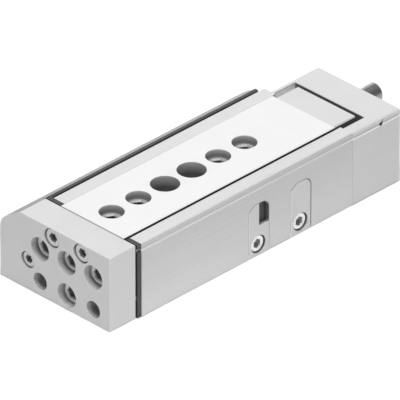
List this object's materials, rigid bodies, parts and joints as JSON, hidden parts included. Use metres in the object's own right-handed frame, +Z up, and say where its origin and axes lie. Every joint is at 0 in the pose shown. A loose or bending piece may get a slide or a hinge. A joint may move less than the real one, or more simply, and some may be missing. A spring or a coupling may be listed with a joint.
{
  "type": "pneumatic slide table",
  "caption": "Compact pneumatic slide table: a ground table on caged balls in an aluminium body, driven by a small cylinder beside it, with a yoke plate in front and an elastomer stop behind.",
  "frame": {"origin": "midway between the two base through holes, on the underside of the housing", "axes": "X across the table from its centreline with the drive bore on the -X side, +Y from the yoke plate to the end cap, +Z up from the underside to the table's ground face; the table is drawn retracted and moves out along -Y"},
  "size_m": [0.042, 0.1174, 0.0231],
  "materials": {
    "anodised_aluminium": "pale matt anodised",
    "piston_aluminium": "turned",
    "ground_steel": "finely ground",
    "hardened_steel": "hardened and ground",
    "bearing_steel": "polished",
    "bright_screw_steel": "bright plated",
    "blackened_steel": "blackened, satin",
    "dark_plastic": "matt moulded",
    "cage_plastic": "moulded",
    "buffer_plastic": "turned",
    "buffer_elastomer": "cast elastomer",
    "black_rubber": "moulded",
    "bearing_bronze": "sintered",
    "magnet": "sintered"
  },
  "bodies": {
    "housing_body": {"housing": "anodised_aluminium", "raceway_left": "hardened_steel", "raceway_right": "hardened_steel", "front_cover": "dark_plastic", "front_cover_screws": "bright_screw_steel", "rod_bush": "bearing_bronze", "rod_seal": "black_rubber", "rod_circlip": "hardened_steel", "end_cap": "anodised_aluminium", "end_cap_screws": "bright_screw_steel", "bore_o_ring": "black_rubber", "absorber_sleeve": "blackened_steel", "absorber_elastomer": "buffer_elastomer", "absorber_clamp_screw": "blackened_steel", "switch_clamp_front": "anodised_aluminium", "switch_clamp_rear": "anodised_aluminium", "switch_clamp_screws": "bright_screw_steel", "position_switch": "dark_plastic", "stop_block": "hardened_steel", "stop_block_screws": "blackened_steel", "stop_bumper": "buffer_elastomer"},
    "table_body": {"slide_table": "ground_steel", "table_plug_screws": "bright_screw_steel", "slide_tail": "anodised_aluminium", "tail_screws": "bright_screw_steel", "yoke_plate": "anodised_aluminium", "yoke_plug_screws": "bright_screw_steel", "yoke_screws": "bright_screw_steel", "rod_screw": "bright_screw_steel", "stop_bar": "anodised_aluminium", "bar_strip": "dark_plastic", "bar_screw": "bright_screw_steel", "stop_lug": "hardened_steel", "lug_screw": "bright_screw_steel", "piston_rod": "hardened_steel", "piston": "piston_aluminium", "piston_seals": "black_rubber", "piston_magnet": "magnet", "piston_nut": "bright_screw_steel"},
    "left_cage_body": {"ball_cage_left": "cage_plastic", "balls_left": "bearing_steel"},
    "right_cage_body": {"ball_cage_right": "cage_plastic", "balls_right": "bearing_steel"},
    "buffer_body": {"absorber_buffer": "buffer_plastic"}
  },
  "joints": [
    {"name": "table_slide", "type": "slide", "parent": "housing_body", "child": "table_body", "axis": [0, -1, 0], "range_m": [0, 0.04]},
    {"name": "left_cage_slide", "type": "slide", "parent": "housing_body", "child": "left_cage_body", "axis": [0, -1, 0], "range_m": [0, 0.02]},
    {"name": "right_cage_slide", "type": "slide", "parent": "housing_body", "child": "right_cage_body", "axis": [0, -1, 0], "range_m": [0, 0.02]},
    {"name": "buffer_slide", "type": "slide", "parent": "housing_body", "child": "buffer_body", "axis": [0, 1, 0], "range_m": [0, 0.001], "stiffness_N_per_m": 15000}
  ],
  "couplings": [
    {"joint": "left_cage_slide", "follows": "table_slide", "ratio": 0.5},
    {"joint": "right_cage_slide", "follows": "table_slide", "ratio": 0.5}
  ]
}
